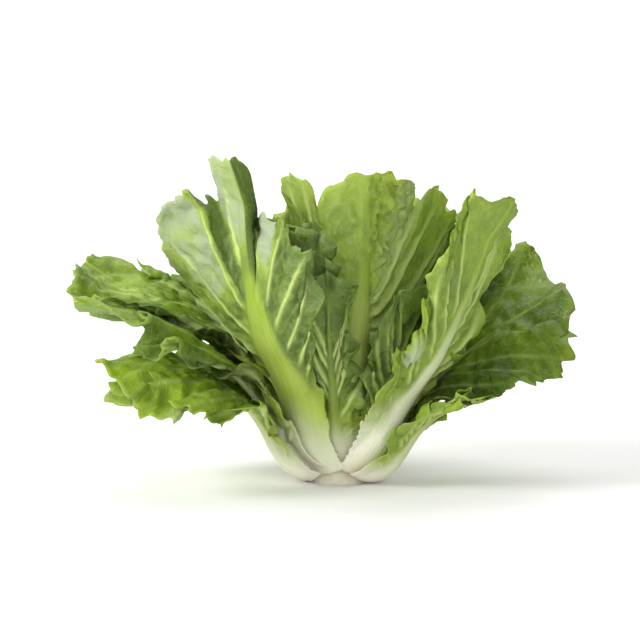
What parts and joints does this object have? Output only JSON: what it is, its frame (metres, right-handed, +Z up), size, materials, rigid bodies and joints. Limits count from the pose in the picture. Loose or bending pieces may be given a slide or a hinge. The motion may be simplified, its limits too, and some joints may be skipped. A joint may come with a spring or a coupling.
{
  "type": "escarole head",
  "caption": "Open head of leafy escarole with broad ribbed stalks and ruffled green leaves, standing on the flat cut of its stem.",
  "frame": {"origin": "centre of the flat cut face at the foot of the stem", "axes": "+Z up from the cut face along the stem; -Y out of the side that the picture shows, with +X to the right there"},
  "size_m": [0.2961, 0.2142, 0.1945],
  "materials": {
    "leaf_outer": "waxy, green, with pale raised veins",
    "leaf_middle": "waxy, light green",
    "leaf_heart": "waxy, yellow-green",
    "stem": "moist cut stem, white turning tan"
  },
  "bodies": {
    "root": {"stem_core": "stem", "leaf_left_low": "leaf_outer", "leaf_right_low": "leaf_outer", "leaf_back_low": "leaf_outer", "leaf_left_ribbed": "leaf_outer", "leaf_right_outer": "leaf_outer", "leaf_back_right": "leaf_outer", "leaf_front_fan": "leaf_outer", "leaf_front_right": "leaf_outer", "leaf_back_right_middle": "leaf_outer", "leaf_back_left": "leaf_outer", "leaf_left_tip": "leaf_outer", "leaf_front_narrow": "leaf_outer", "leaf_right_middle": "leaf_outer", "leaf_back_middle": "leaf_outer", "leaf_front_left_middle": "leaf_middle", "leaf_right_front_middle": "leaf_middle", "leaf_right_back_middle": "leaf_middle", "leaf_back_left_middle": "leaf_middle", "leaf_front_centre": "leaf_middle", "leaf_left_middle": "leaf_middle", "leaf_back_inner": "leaf_middle", "leaf_right_inner": "leaf_middle", "leaf_front_left_inner": "leaf_heart", "leaf_front_right_inner": "leaf_heart", "leaf_back_right_inner": "leaf_heart", "leaf_back_left_inner": "leaf_heart", "leaf_front_inner": "leaf_heart", "leaf_left_inner": "leaf_heart", "leaf_back_heart": "leaf_heart", "leaf_right_heart": "leaf_heart", "leaf_heart_left": "leaf_heart", "leaf_heart_right": "leaf_heart", "leaf_heart_back": "leaf_heart"}
  },
  "joints": []
}
